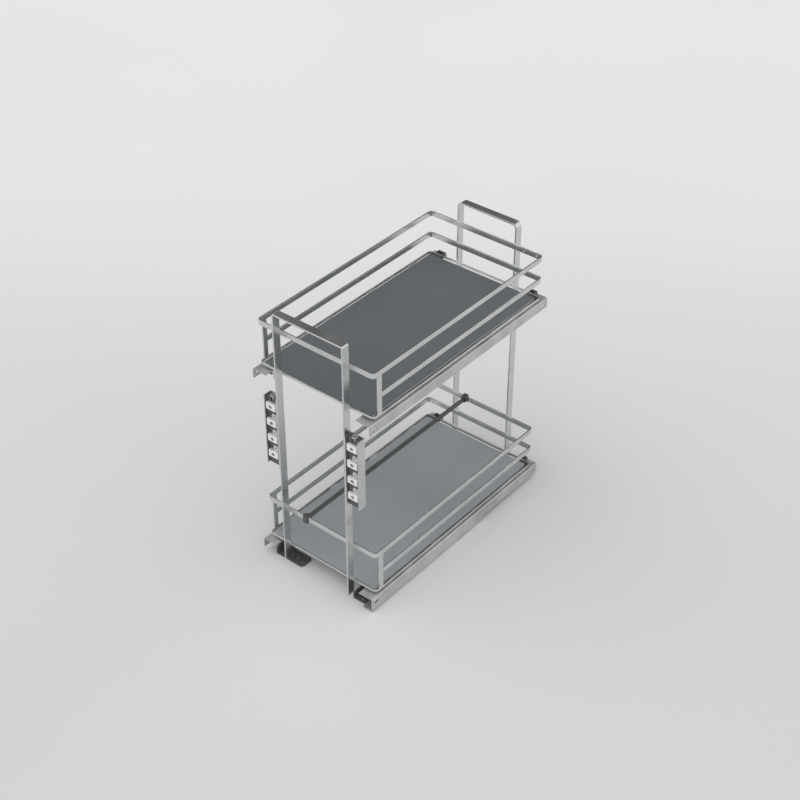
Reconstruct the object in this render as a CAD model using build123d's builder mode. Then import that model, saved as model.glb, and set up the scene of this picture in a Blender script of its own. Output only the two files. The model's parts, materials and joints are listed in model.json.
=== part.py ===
from build123d import *
import os

# Pull-out spice rack with two baskets for the inside of a narrow kitchen base cabinet.
# The baskets hang in two upright portals of flat strip and roll out to the front on four
# full-extension roller runners, which lie hidden under the plates of four L-shaped rails.
# Frame: +Z is up, the door side faces -Y and X runs across the cabinet. The origin lies on the
# cabinet floor, in the middle of the fitting. All sizes are in millimetres.

os.makedirs("parts", exist_ok=True)

# Overall sizes
cabinet_width = 264.0  # clear width between the cabinet's side boards
basket_length = 475.0  # outside length of a basket, front to back
tier_pitch = 389.0  # from a level on the lower basket to the same level on the upper one

# Flat bar of the baskets
bar_thickness = 3.0
bar_height = 10.0
rim_height = 4.0
side_gap = 2.5  # from a basket's side to the cabinet's side board
rail_corner = 8.0
rim_corner = 10.0

# Levels in a tier, above the tier's base
mid_rail_top = 82.0
top_rail_top = 127.5
post_setback = 11.5  # from the basket's front to the corner post
post_width = 10.0

# Tray
cross_bar_width = 20.0
cross_bar_thickness = 3.0
cross_bar_pitch = 120.0
cross_bar_count = 4
cross_bar_inset = 1.5  # the rim lies this far over the bar's end
panel_thickness = 2.5
panel_side_gap = 4.5
panel_rear_gap = 6.5
panel_corner = 4.0
mat_thickness = 1.0
mat_inset = 0.5

# Portals
portal_strip = 16.0
portal_thickness = 3.0
portal_rise = 40.0  # portal's top above the upper basket's top rail
portal_foot = 12.0
front_portal_width = 156.0
front_portal_bend = 4.0
rear_portal_width = 134.0
rear_portal_bend = 10.0

# L-shaped rails
sheet = 1.5
plate_width = 31.0
plate_top = 31.0
rail_setback = 2.0  # the rail's front end behind the front portal's face
rail_bend = 2.2
flange_height = 20.0
foot_length = 330.5
foot_notch = 26.0  # the left rail's foot starts this far behind the rail's front end
foot_width = 22.0
slot_length = 14.0
slot_width = 4.5
slot_inset = 13.5  # from the rail's end to the slot's centre
slot_level = 19.0

# Roller runner
member_height = 18.0
member_depth = 9.0
member_setback = 25.5  # from the rail's front end to the runner's members
member_rear_gap = 24.5  # from the fixed member's rear end to the rail's
moving_shortfall = 7.0  # the moving members are this much shorter than the fixed one
drawer_sheet = 1.1
drawer_depth = 8.6
middle_width = 14.5
middle_flange = 1.5
middle_web = 3.0
roller_diameter = 3.0
roller_length = 3.6
roller_flats = 12  # the small rollers are drawn with flats
roller_play = 0.05
roller_inset = 2.4  # from the middle member's edge to the rollers' middle
cage_sheet = 0.6
cage_gap = 0.45
cage_play = 0.1
cage_length = 190.0
cage_setback = 126.0
cage_end = 15.0  # from the cage's end to its outermost roller
cage_lip = 0.8  # cage sheet beyond the rollers' ends
web_gap = 1.5  # from the middle member to the drawer member's web

# Hangers between the drawer members and the trays
hanger_sheet = 2.0
hanger_gap = 2.0
tray_clearance = 2.0

# Floor brackets. Both reach to the right from their walls, so they are not mirror images
bracket_sheet = 2.5
left_wall = 17.0
left_reach = 64.0  # width of the left floor plate, across the cabinet
right_wall = 14.5
right_start = 80.0  # the right bracket begins here, outside the portal's leg
bracket_length = 29.0
bracket_setback = 8.5
bracket_gap = 1.0  # between the left bracket's wall and the rail's foot
bracket_corner = 4.0
strip_width = 18.0  # strip under the rail's foot
strip_setback = 2.0  # the left strip starts this far behind the foot
floor_hole = 5.0
floor_hole_near = 7.5  # from the left wall's outer face to the outer hole's near side
floor_hole_spacing = 30.6
floor_pair_offset = 9.8  # from the left plate's inner edge to the pair of holes
floor_pair_spacing = 15.0
floor_pair_shift = 4.0  # the left pair lies this far behind the plate's middle
right_pair = 96.0

# Rivets between the strips and the rails' feet, flush on both sides
rivet_diameter = 4.0
rivet_play = 0.05
rivet_front = 33.5  # behind the rail's front end
rivet_rear = 12.0  # ahead of the foot's rear end

# Plastic clips under the trays' rear rims, each with a tongue in front of the rim and a loop behind it
clip_wall = 3.0
clip_play = 0.3
clip_base = 2.4
clip_inner_end = 99.5
clip_outer_end = 124.5
loop_start = 98.0
loop_width = 17.0
loop_depth = 8.0
loop_top = 2.0  # above the rim

# Door brackets and the adjusters in them
door_bracket_width = 29.5
door_bracket_depth = 18.0
door_bracket_bottom = 227.0
adjuster_play = 0.3
adjuster_setback = 6.0  # the black body's face behind the bracket's front edges
adjuster_margin = 3.0  # free height at each end, for the height setting
adjuster_count = 4
adjuster_pitch = 35.0
clamp_width = 22.0
clamp_height = 13.6
clamp_depth = 10.0
clamp_play = 0.15
clamp_edge = 0.8
first_clamp = 13.5  # the top block's upper face below the bracket's top
last_clamp = 16.9  # the lowest block's lower face above the bracket's bottom
screw_diameter = 7.4
screw_recess = 1.0  # the screw's face behind the block's
screw_cross = 6.2
screw_slot = 1.6
bush_diameter = 11.5
bush_base = 10.0  # side of the bush's square base
bush_bore = 4.3
bush_proud = 2.0
bush_rise = 13.0  # a bush's centre above the centre of the block below it
bush_shift = 3.4  # a bush lies this far to the right of its adjuster's middle, on both sides
relief_width = 8.6
height_head = 12.0
height_head_thickness = 2.0
height_shaft = 5.0
height_shaft_length = 10.0
height_socket = 4.6
height_setback = 10.2  # the height screw's axis behind the bracket's front edges

# Leg tab at the upper basket
leg_tab_height = 21.0
leg_tab_width = 8.0

# Divider across the lower basket
divider_place = -34.8
divider_bar = 3.0
cap_boss = 13.5
cap_boss_depth = 5.0
cap_socket_depth = 3.0
cap_tongue = 10.0
cap_wall = 2.5
cap_drop = 17.0  # from the hook's top to the tongue's lower end
cap_play = 0.3
socket_play = 0.1

# Holes in the upper basket's rear run
rear_hole = 3.5
rear_hole_places = (88.5, 115.6)

# Places that follow from the sizes
half_cabinet = cabinet_width / 2
basket_width = cabinet_width - 2 * side_gap
half_basket = basket_width / 2
half_length = basket_length / 2
rack_front = -half_length - portal_strip
rack_rear = half_length + portal_strip
portal_top = tier_pitch + top_rail_top + portal_rise
rail_front = rack_front + rail_setback
rail_length = rack_rear - rail_front
plate_underside = plate_top - sheet
flange_bottom = plate_top - flange_height
cross_bar_bottom = plate_top + tray_clearance
rim_bottom = cross_bar_bottom + cross_bar_thickness
rim_top = rim_bottom + rim_height
runner_level = plate_underside - member_height / 2
member_length = rail_length - member_setback - member_rear_gap
moving_length = member_length - moving_shortfall
track_half = member_height / 2 - sheet
roller_offset = track_half - roller_play - roller_diameter / 2
middle_half = roller_offset - roller_diameter / 2 - roller_play
member_web = half_cabinet - sheet
member_inside = member_web - sheet
middle_outer = member_inside - 2 * cage_gap - cage_sheet
middle_inner = middle_outer - middle_width
drawer_inside = middle_inner - web_gap
drawer_web = drawer_inside - drawer_sheet
member_front = rail_front + member_setback
cage_front = member_front + cage_setback
hanger_outer = half_cabinet - plate_width - hanger_gap
hanger_inner = hanger_outer - hanger_sheet
hanger_level = left_wall + hanger_gap
strip_inner = half_cabinet - foot_width - bracket_gap
strip_outer = strip_inner + strip_width + bracket_gap
left_inner = strip_inner - left_reach
bracket_front = rail_front + bracket_setback
bracket_rear = bracket_front + bracket_length
bracket_middle = bracket_front + bracket_length / 2
foot_rear = rail_front + foot_length
left_strip_front = rail_front + foot_notch + strip_setback
rivet_place = (strip_inner + strip_outer) / 2
rivet_rows = (rail_front + rivet_front, foot_rear - rivet_rear)
rivet_hole = rivet_diameter / 2 + rivet_play
door_bracket_inner = front_portal_width / 2
clamp_span = clamp_height + (adjuster_count - 1) * adjuster_pitch
door_bracket_height = last_clamp + clamp_span + first_clamp
door_bracket_top = door_bracket_bottom + door_bracket_height
door_bracket_middle = door_bracket_inner + door_bracket_width / 2
clamp_levels = [
    door_bracket_top - first_clamp - clamp_height / 2 - i * adjuster_pitch for i in range(adjuster_count)
]
bush_levels = [level + bush_rise for level in clamp_levels[1:]]

tiers = {"lower": 0.0, "upper": tier_pitch}
sides = {"left": -1, "right": 1}


def save(piece, label):
    """Name a finished piece and write it to its file."""
    piece.part.label = label
    export_step(piece.part, f"parts/{label}.step")


def across(y):
    """Upright plane across the cabinet at y, seen from the front: X to the right, Z up."""
    return Plane.XZ.offset(-y)


def mirrored(side, points):
    """The points of a right-hand profile, or their mirror image for the left side."""
    return [(side * x, z) for x, z in points]


# L-shaped rails, screwed to the cabinet's side boards


def rail_profile(base, flange_end, footed):
    """Section of a rail, as corner points from the plate's inner edge round to the start."""
    top = base + plate_top
    inner = half_cabinet - plate_width
    bottom = base + flange_end
    outside = [(inner, top - sheet), (inner, top), (half_cabinet, top), (half_cabinet, bottom)]
    if footed:
        toe = half_cabinet - foot_width
        return outside + [(toe, bottom), (toe, bottom + sheet), (member_web, bottom + sheet),
                          (member_web, top - sheet)]
    return outside + [(member_web, bottom), (member_web, top - sheet)]


def rail(side, base, foot_start, foot_end):
    """One L-shaped rail. From foot_start to foot_end its flange goes down to a foot."""
    spans = [(0.0, foot_start, False), (foot_start, foot_end, True), (foot_end, rail_length, False)]
    with BuildPart() as part:
        for start, end, footed in spans:
            if end > start:
                flange_end = bracket_sheet if footed else flange_bottom
                with BuildSketch(across(rail_front + start)):
                    with BuildLine():
                        Polyline(*mirrored(side, rail_profile(base, flange_end, footed)), close=True)
                    make_face()
                extrude(amount=start - end)
        bend = part.edges().filter_by(Axis.Y).group_by(Axis.Z)[-1].sort_by(Axis.X)
        fillet(bend[-1] if side > 0 else bend[0], rail_bend)
        with BuildSketch(Plane.YZ.offset(side * half_cabinet)):
            with Locations((rail_front + slot_inset, base + slot_level),
                           (rail_front + rail_length - slot_inset, base + slot_level)):
                SlotOverall(slot_length, slot_width)
        extrude(amount=-side * sheet, mode=Mode.SUBTRACT)
        if foot_end > foot_start:
            with BuildSketch():
                with Locations(*[(side * rivet_place, y) for y in rivet_rows]):
                    Circle(rivet_hole)
            extrude(amount=bracket_sheet + sheet, mode=Mode.SUBTRACT)
    return part


for hand, side in sides.items():
    foot_start = foot_notch if hand == "left" else 0.0
    save(rail(side, tiers["lower"], foot_start, foot_length), f"rail_lower_{hand}")
    save(rail(side, tiers["upper"], 0.0, 0.0), f"rail_upper_{hand}")


# Roller runners


def channel_points(web, depth, wall, half_height, base, opening):
    """Corner points of a C section. Its web stands at web and its flanges reach towards opening."""
    middle = base + runner_level
    tip = web + opening * depth
    inside = web + opening * wall
    return [(web, middle - half_height), (web, middle + half_height), (tip, middle + half_height),
            (tip, middle + half_height - wall), (inside, middle + half_height - wall),
            (inside, middle - half_height + wall), (tip, middle - half_height + wall),
            (tip, middle - half_height)]


def cabinet_member(side, base):
    """Fixed C section of a runner, spot-welded into the rail's corner."""
    outline = channel_points(member_web, member_depth, sheet, member_height / 2, base, -1)
    with BuildPart() as part:
        with BuildSketch(across(member_front)):
            with BuildLine():
                Polyline(*mirrored(side, outline), close=True)
            make_face()
        extrude(amount=-member_length)
        corners = part.edges().filter_by(Axis.Y).group_by(Axis.X)[-1 if side > 0 else 0]
        fillet(corners, sheet / 2)
    return part


def middle_member(side, base):
    """Moving I section of a runner: two channels back to back, with a roller track on each side."""
    level = base + runner_level
    centre = side * (middle_outer + middle_inner) / 2
    with BuildPart() as part:
        with BuildSketch(across(member_front)):
            with Locations((centre, level)):
                Rectangle(middle_width, 2 * middle_half)
            with Locations((centre - (middle_width + middle_web) / 4, level),
                           (centre + (middle_width + middle_web) / 4, level)):
                Rectangle((middle_width - middle_web) / 2, 2 * (middle_half - middle_flange),
                          mode=Mode.SUBTRACT)
        extrude(amount=-moving_length)
    return part


def drawer_member(side, base):
    """Moving C section of a runner, which carries the basket."""
    outline = channel_points(drawer_web, drawer_depth, drawer_sheet, track_half + drawer_sheet, base, 1)
    with BuildPart() as part:
        with BuildSketch(across(member_front)):
            with BuildLine():
                Polyline(*mirrored(side, outline), close=True)
            make_face()
        extrude(amount=-moving_length)
    return part


def roller_cage(side, base, web, opening, rollers_x):
    """Thin C-shaped strip round the middle member's edge, with its rollers above and below."""
    level = base + runner_level
    rollers_y = [cage_front + cage_end, cage_front + cage_length - cage_end]
    lip = abs(rollers_x - web) + roller_length / 2 + cage_lip
    outline = channel_points(web, lip, cage_sheet, roller_offset + cage_sheet / 2, base, opening)
    with BuildPart() as part:
        with BuildSketch(across(cage_front)):
            with BuildLine():
                Polyline(*mirrored(side, outline), close=True)
            make_face()
        extrude(amount=-cage_length)
        with BuildSketch(Plane.XY.offset(level - roller_offset - cage_sheet)):
            with Locations(*[(side * rollers_x, y) for y in rollers_y]):
                Rectangle(roller_length + 2 * cage_play, roller_diameter + 2 * cage_play)
        extrude(amount=2 * (roller_offset + cage_sheet), mode=Mode.SUBTRACT)
        with BuildSketch(Plane.YZ.offset(side * rollers_x - roller_length / 2)):
            with Locations(*[(y, level + z) for y in rollers_y for z in (-roller_offset, roller_offset)]):
                RegularPolygon(roller_diameter / 2, roller_flats)
        extrude(amount=roller_length)
    return part


for tier, base in tiers.items():
    for hand, side in sides.items():
        save(cabinet_member(side, base), f"cabinet_member_{tier}_{hand}")
        save(middle_member(side, base), f"middle_member_{tier}_{hand}")
        save(drawer_member(side, base), f"drawer_member_{tier}_{hand}")
        outer_web = member_inside - cage_gap
        inner_web = drawer_inside + cage_gap
        outer_cage = roller_cage(side, base, outer_web, -1, middle_outer - roller_inset)
        inner_cage = roller_cage(side, base, inner_web, 1, middle_inner + roller_inset)
        save(outer_cage, f"roller_cage_outer_{tier}_{hand}")
        save(inner_cage, f"roller_cage_inner_{tier}_{hand}")


# Floor brackets, with a long strip under each lower rail's foot

with BuildPart() as bracket_rivets:
    with BuildSketch():
        with Locations(*[(side * rivet_place, y) for side in sides.values() for y in rivet_rows]):
            Circle(rivet_diameter / 2)
    extrude(amount=bracket_sheet + sheet)
save(bracket_rivets, "bracket_rivets")


def floor_bracket(side, outline, wall_place, wall, holes):
    """Black bracket: a floor plate with its strip, and a low wall along the plate's left side."""
    with BuildPart() as part:
        with BuildSketch():
            with BuildLine():
                Polyline(*mirrored(side, outline), close=True)
            make_face()
        extrude(amount=bracket_sheet)
        with BuildSketch(across(bracket_front)):
            with Locations((side * wall_place, 0)):
                Rectangle(bracket_sheet, wall, align=(Align.CENTER, Align.MIN))
        extrude(amount=-bracket_length)
        wall_top = part.edges().filter_by(Axis.X).group_by(Axis.Z)[-1]
        fillet(wall_top, bracket_corner)
        with BuildSketch():
            with Locations(*[(side * x, y) for x, y in holes]):
                Circle(floor_hole / 2)
            with Locations(*[(side * rivet_place, y) for y in rivet_rows]):
                Circle(rivet_hole)
        extrude(amount=bracket_sheet, mode=Mode.SUBTRACT)
    return part


strip_end = [(strip_outer, foot_rear), (strip_inner, foot_rear), (strip_inner, bracket_rear)]
left_outline = [(left_inner + bracket_corner, bracket_front), (strip_inner, bracket_front),
                (strip_inner, left_strip_front), (strip_outer, left_strip_front), *strip_end,
                (left_inner + bracket_corner, bracket_rear), (left_inner, bracket_rear - bracket_corner),
                (left_inner, bracket_front + bracket_corner)]
right_outline = [(right_start, bracket_front), (strip_outer, bracket_front), *strip_end,
                 (right_start, bracket_rear)]
outer_hole = strip_inner - floor_hole_near - floor_hole / 2
pair_y = bracket_middle + floor_pair_shift
left_holes = [(outer_hole, bracket_middle), (outer_hole - floor_hole_spacing, bracket_middle),
              (left_inner + floor_pair_offset, pair_y - floor_pair_spacing / 2),
              (left_inner + floor_pair_offset, pair_y + floor_pair_spacing / 2)]
right_holes = [(right_pair, bracket_middle - floor_pair_spacing / 2),
               (right_pair, bracket_middle + floor_pair_spacing / 2)]
save(floor_bracket(-1, left_outline, strip_inner - bracket_sheet / 2, left_wall, left_holes),
     "floor_bracket_left")
save(floor_bracket(1, right_outline, right_start + bracket_sheet / 2, right_wall, right_holes),
     "floor_bracket_right")


# Hangers: they pass round the inner edge of the rail's plate and carry the trays

for tier, base in tiers.items():
    with BuildPart() as hangers:
        for side in sides.values():
            outline = [(drawer_web, base + hanger_level), (hanger_inner, base + hanger_level),
                       (hanger_inner, base + cross_bar_bottom), (hanger_outer, base + cross_bar_bottom),
                       (hanger_outer, base + hanger_level + hanger_sheet),
                       (drawer_web, base + hanger_level + hanger_sheet)]
            with BuildSketch(across(member_front)):
                with BuildLine():
                    Polyline(*mirrored(side, outline), close=True)
                make_face()
            extrude(amount=-moving_length)
    save(hangers, f"hangers_{tier}")


# Portals: one flat strip each, bent to an arch


def portal(width, bend, front):
    """Arch of flat strip, from its front plane towards the back."""
    middle = (width - portal_thickness) / 2
    top = portal_top - portal_thickness / 2
    with BuildPart() as part:
        with BuildSketch(across(front)):
            with BuildLine():
                FilletPolyline((-middle, portal_foot), (-middle, top), (middle, top), (middle, portal_foot),
                               radius=bend - portal_thickness / 2)
            trace(line_width=portal_thickness)
        extrude(amount=-portal_strip)
    return part


save(portal(front_portal_width, front_portal_bend, rack_front), "front_portal")
save(portal(rear_portal_width, rear_portal_bend, half_length), "rear_portal")


# Baskets: loops of flat bar


def loop_outline(bottom, corner):
    """Sketch of a closed loop of flat bar with its lower edges at bottom."""
    with BuildSketch(Plane.XY.offset(bottom)) as outline:
        RectangleRounded(basket_width, basket_length, corner)
        RectangleRounded(basket_width - 2 * bar_thickness, basket_length - 2 * bar_thickness,
                         corner - bar_thickness, mode=Mode.SUBTRACT)
    return outline.sketch


post_rear = -half_length + post_setback + post_width

for tier, base in tiers.items():
    with BuildPart() as top_rail:
        extrude(loop_outline(base + top_rail_top - bar_height, rail_corner), amount=bar_height)
        if tier == "upper":
            with BuildSketch(across(half_length)):
                with Locations(*[(x, base + top_rail_top - bar_height / 2) for x in rear_hole_places]):
                    Circle(rear_hole / 2)
            extrude(amount=bar_thickness, mode=Mode.SUBTRACT)
    save(top_rail, f"top_rail_{tier}")

    with BuildPart() as mid_rail:
        extrude(loop_outline(base + mid_rail_top - bar_height, rail_corner), amount=bar_height)
        with BuildSketch(Plane.XY.offset(base + mid_rail_top - bar_height)):
            with Locations((0, post_rear)):
                Rectangle(basket_width, basket_length, align=(Align.CENTER, Align.MAX))
        extrude(amount=bar_height, mode=Mode.SUBTRACT)
    save(mid_rail, f"mid_rail_{tier}")

    with BuildPart() as tray_rim:
        extrude(loop_outline(base + rim_bottom, rim_corner), amount=rim_height)
    save(tray_rim, f"tray_rim_{tier}")

with BuildPart() as corner_posts:
    for base in tiers.values():
        with BuildSketch(Plane.XY.offset(base + rim_top)):
            with Locations((0, post_rear - post_width / 2)):
                with GridLocations(basket_width - bar_thickness, 1, 2, 1):
                    Rectangle(bar_thickness, post_width)
        extrude(amount=top_rail_top - bar_height - rim_top)
save(corner_posts, "corner_posts")


# Trays: cross bars under the rim, a panel on the bars and a mat on the panel

with BuildPart() as cross_bars:
    for base in tiers.values():
        with BuildSketch(Plane.XY.offset(base + cross_bar_bottom)):
            with GridLocations(1, cross_bar_pitch, 1, cross_bar_count):
                Rectangle(basket_width - 2 * cross_bar_inset, cross_bar_width)
        extrude(amount=cross_bar_thickness)
save(cross_bars, "cross_bars")

panel_width = basket_width - 2 * bar_thickness - 2 * panel_side_gap
panel_front = -half_length + bar_thickness
panel_length = basket_length - 2 * bar_thickness - panel_rear_gap

for tier, base in tiers.items():
    with BuildPart() as tray_panel:
        with BuildSketch(Plane.XY.offset(base + rim_bottom)):
            with Locations((0, panel_front + panel_length / 2)):
                RectangleRounded(panel_width, panel_length, panel_corner)
        extrude(amount=panel_thickness)
    save(tray_panel, f"tray_panel_{tier}")

    with BuildPart() as mat:
        with BuildSketch(Plane.XY.offset(base + rim_bottom + panel_thickness)):
            with Locations((0, panel_front + panel_length / 2)):
                RectangleRounded(panel_width - 2 * mat_inset, panel_length - 2 * mat_inset, panel_corner)
        extrude(amount=mat_thickness)
    save(mat, f"mat_{tier}")


# Plastic clips under the trays' rear rims. The rim lies in each clip, between its tongue and its loop

clip_bottom = rim_bottom - clip_play - clip_base
tongue_front = half_length - bar_thickness - panel_rear_gap + clip_play
loop_front = half_length + clip_play
loop_end = loop_start + loop_width

with BuildPart() as rear_clips:
    for base in tiers.values():
        with BuildSketch(Plane.XY.offset(base + clip_bottom)):
            for side in sides.values():
                with Locations((side * (loop_start + clip_outer_end) / 2, tongue_front)):
                    Rectangle(clip_outer_end - loop_start, loop_front - tongue_front,
                              align=(Align.CENTER, Align.MIN))
            RectangleRounded(basket_width, basket_length + 2 * clip_play, rim_corner, mode=Mode.INTERSECT)
        extrude(amount=clip_base)
        with BuildSketch(Plane.XY.offset(base + clip_bottom)):
            for side in sides.values():
                with Locations((side * (clip_inner_end + clip_outer_end) / 2, tongue_front)):
                    Rectangle(clip_outer_end - clip_inner_end, 2 * panel_rear_gap,
                              align=(Align.CENTER, Align.MIN))
            groove = 2 * (bar_thickness + clip_play)
            RectangleRounded(basket_width - groove, basket_length - groove, rim_corner - groove / 2,
                             mode=Mode.INTERSECT)
        extrude(amount=rim_top - clip_bottom)
        with BuildSketch(Plane.XY.offset(base + clip_bottom)):
            for side in sides.values():
                with Locations((side * (loop_start + loop_end) / 2, loop_front)):
                    Rectangle(loop_width, loop_depth, align=(Align.CENTER, Align.MIN))
                    Rectangle(loop_width - 2 * clip_wall, loop_depth - clip_wall,
                              align=(Align.CENTER, Align.MIN), mode=Mode.SUBTRACT)
        extrude(amount=rim_top + loop_top - clip_bottom)
save(rear_clips, "rear_clips")


# Door brackets on the front portal's legs, with the adjusters that hold the cabinet's door


def door_bracket(side):
    """Channel of sheet, open to the front, welded to the outside of a portal leg."""
    back = rack_front + door_bracket_depth
    outer = door_bracket_inner + door_bracket_width
    outline = [(door_bracket_inner, rack_front), (door_bracket_inner, back), (outer, back),
               (outer, rack_front), (outer - sheet, rack_front), (outer - sheet, back - sheet),
               (door_bracket_inner + sheet, back - sheet), (door_bracket_inner + sheet, rack_front)]
    with BuildPart() as part:
        with BuildSketch(Plane.XY.offset(door_bracket_bottom)):
            with BuildLine():
                Polyline(*mirrored(side, outline), close=True)
            make_face()
        extrude(amount=door_bracket_height)
        with BuildSketch(across(back)):
            with Locations(*[(side * door_bracket_middle + bush_shift, level) for level in bush_levels]):
                Rectangle(relief_width, relief_width + 2 * adjuster_margin)
        extrude(amount=sheet, mode=Mode.SUBTRACT)
    return part


def bracket_body(side):
    """Black adjuster body, free to be set up or down in the channel."""
    front = rack_front + adjuster_setback
    back = rack_front + door_bracket_depth - sheet - adjuster_play
    width = door_bracket_width - 2 * sheet - 2 * adjuster_play
    middle = side * door_bracket_middle
    with BuildPart() as part:
        with BuildSketch(across(front)):
            with Locations((middle, (door_bracket_bottom + door_bracket_top) / 2)):
                Rectangle(width, door_bracket_height)
        extrude(amount=front - back)
        with BuildSketch(across(front)):
            with Locations(*[(middle, level) for level in clamp_levels]):
                Rectangle(clamp_width + 2 * clamp_play, clamp_height + 2 * clamp_play)
        extrude(amount=adjuster_setback - clamp_depth - clamp_play, mode=Mode.SUBTRACT)
        with BuildSketch(across(front)):
            with Locations(*[(middle + bush_shift, level) for level in bush_levels]):
                Rectangle(bush_base + 2 * clamp_play, bush_base + 2 * clamp_play)
        extrude(amount=front - back, mode=Mode.SUBTRACT)
        with BuildSketch(across(front)):
            with Locations((middle, door_bracket_top)):
                Rectangle(height_shaft + 2 * clamp_play, height_shaft_length + clamp_play,
                          align=(Align.CENTER, Align.MAX))
        extrude(amount=adjuster_setback - height_setback - height_shaft / 2 - clamp_play,
                mode=Mode.SUBTRACT)
    return part


def height_screw(side):
    """Upright screw in the body's top notch, for setting the adjuster's height."""
    middle = side * door_bracket_middle
    axis = rack_front + height_setback
    with BuildPart() as part:
        with BuildSketch(Plane.XY.offset(door_bracket_top - height_shaft_length)):
            with Locations((middle, axis)):
                Circle(height_shaft / 2)
        extrude(amount=height_shaft_length)
        with BuildSketch(Plane.XY.offset(door_bracket_top)):
            with Locations((middle, axis)):
                Circle(height_head / 2)
        extrude(amount=height_head_thickness)
        with BuildSketch(Plane.XY.offset(door_bracket_top + height_head_thickness)):
            with Locations((middle, axis)):
                RegularPolygon(height_socket / 2, 6)
        extrude(amount=-height_head_thickness, mode=Mode.SUBTRACT)
    return part


def clamp_blocks(side):
    """Four white blocks, each with a hole for its screw."""
    middle = side * door_bracket_middle
    with BuildPart() as part:
        with BuildSketch(across(rack_front)):
            with Locations(*[(middle, level) for level in clamp_levels]):
                Rectangle(clamp_width, clamp_height)
        extrude(amount=-clamp_depth)
        chamfer(part.faces().group_by(Axis.Y)[0].edges(), clamp_edge)
        with Locations(across(rack_front)):
            with Locations(*[(middle, level) for level in clamp_levels]):
                Hole(screw_diameter / 2 + clamp_play)
    return part


def clamp_screws(side):
    """Four headless cross-slot screws, which press on the body through their blocks."""
    face = rack_front + screw_recess
    places = [(side * door_bracket_middle, level) for level in clamp_levels]
    with BuildPart() as part:
        with BuildSketch(across(face)):
            with Locations(*places):
                Circle(screw_diameter / 2)
        extrude(amount=screw_recess - clamp_depth)
        with BuildSketch(across(face)):
            with Locations(*places):
                Rectangle(screw_cross, screw_slot)
                Rectangle(screw_slot, screw_cross)
        extrude(amount=-screw_slot, mode=Mode.SUBTRACT)
    return part


def door_bushes(side):
    """Three flanged bushes with square shanks. The door's screws pass through from behind."""
    front = rack_front + adjuster_setback - bush_proud
    back = rack_front + door_bracket_depth - sheet - adjuster_play
    places = [(side * door_bracket_middle + bush_shift, level) for level in bush_levels]
    with BuildPart() as part:
        with BuildSketch(across(front)):
            with Locations(*places):
                Circle(bush_diameter / 2)
        extrude(amount=-bush_proud)
        with BuildSketch(across(front + bush_proud)):
            with Locations(*places):
                Rectangle(bush_base, bush_base)
        extrude(amount=front + bush_proud - back)
        with BuildSketch(across(front)):
            with Locations(*places):
                Circle(bush_bore / 2)
        extrude(amount=front - back, mode=Mode.SUBTRACT)
    return part


for hand, side in sides.items():
    save(door_bracket(side), f"door_bracket_{hand}")
    save(bracket_body(side), f"bracket_body_{hand}")
    save(clamp_blocks(side), f"clamp_blocks_{hand}")
    save(clamp_screws(side), f"clamp_screws_{hand}")
    save(door_bushes(side), f"door_bushes_{hand}")
    save(height_screw(side), f"height_screw_{hand}")


# Small tab on the left leg of the front portal, beside the upper tray

with BuildPart() as leg_tab:
    with BuildSketch(Plane.YZ.offset(-door_bracket_inner)):
        with Locations((rack_front, tier_pitch + plate_top)):
            Rectangle(leg_tab_width, leg_tab_height, align=(Align.MIN, Align.MIN))
        fillet(vertices().group_by(Axis.Y)[0], leg_tab_width / 2 - socket_play)
    extrude(amount=-portal_thickness)
save(leg_tab, "leg_tab")


# Divider: a black bar across the lower basket, with a cap at each end that rides on the rail

divider_level = top_rail_top - bar_height / 2
boss_face = half_length - bar_thickness - cap_play
divider_half = boss_face - cap_boss_depth + cap_socket_depth
hook_top = top_rail_top + cap_play + cap_wall
tongue_face = half_length + cap_play + cap_wall

with BuildPart() as divider_bar_piece:
    with BuildSketch(across(-divider_half)):
        with Locations((divider_place, divider_level)):
            Rectangle(divider_bar, bar_height)
    extrude(amount=-2 * divider_half)
save(divider_bar_piece, "divider_bar")

with BuildPart() as divider_caps:
    for end in (-1, 1):
        with BuildSketch(across(end * boss_face)):
            with Locations((divider_place, divider_level)):
                Circle(cap_boss / 2)
        extrude(amount=end * cap_boss_depth)
        with BuildSketch(Plane.YZ.offset(divider_place - cap_tongue / 2)):
            with BuildLine():
                Polyline((end * (boss_face - cap_wall), divider_level), (end * boss_face, divider_level),
                         (end * boss_face, hook_top - cap_wall),
                         (end * (tongue_face - cap_wall), hook_top - cap_wall),
                         (end * (tongue_face - cap_wall), hook_top - cap_drop),
                         (end * tongue_face, hook_top - cap_drop), (end * tongue_face, hook_top),
                         (end * (boss_face - cap_wall), hook_top), close=True)
            make_face()
        extrude(amount=cap_tongue)
        with BuildSketch(across(end * (boss_face - cap_boss_depth))):
            with Locations((divider_place, divider_level)):
                Rectangle(divider_bar + 2 * socket_play, bar_height + 2 * socket_play)
        extrude(amount=-end * cap_socket_depth, mode=Mode.SUBTRACT)
save(divider_caps, "divider_caps")
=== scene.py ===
# %% [markdown]
# # A pull-out spice rack
#
# This notebook dresses the construction model of a pull-out spice rack: two flat-bar baskets in
# two upright portals, rolling out of a narrow kitchen cabinet on hidden runners. The construction
# model arrives as a fixed frame of named nodes, so nothing here is placed by eye: every piece
# takes its place from the node that it belongs to.

# %% Load the construction model
import json
import math

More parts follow.
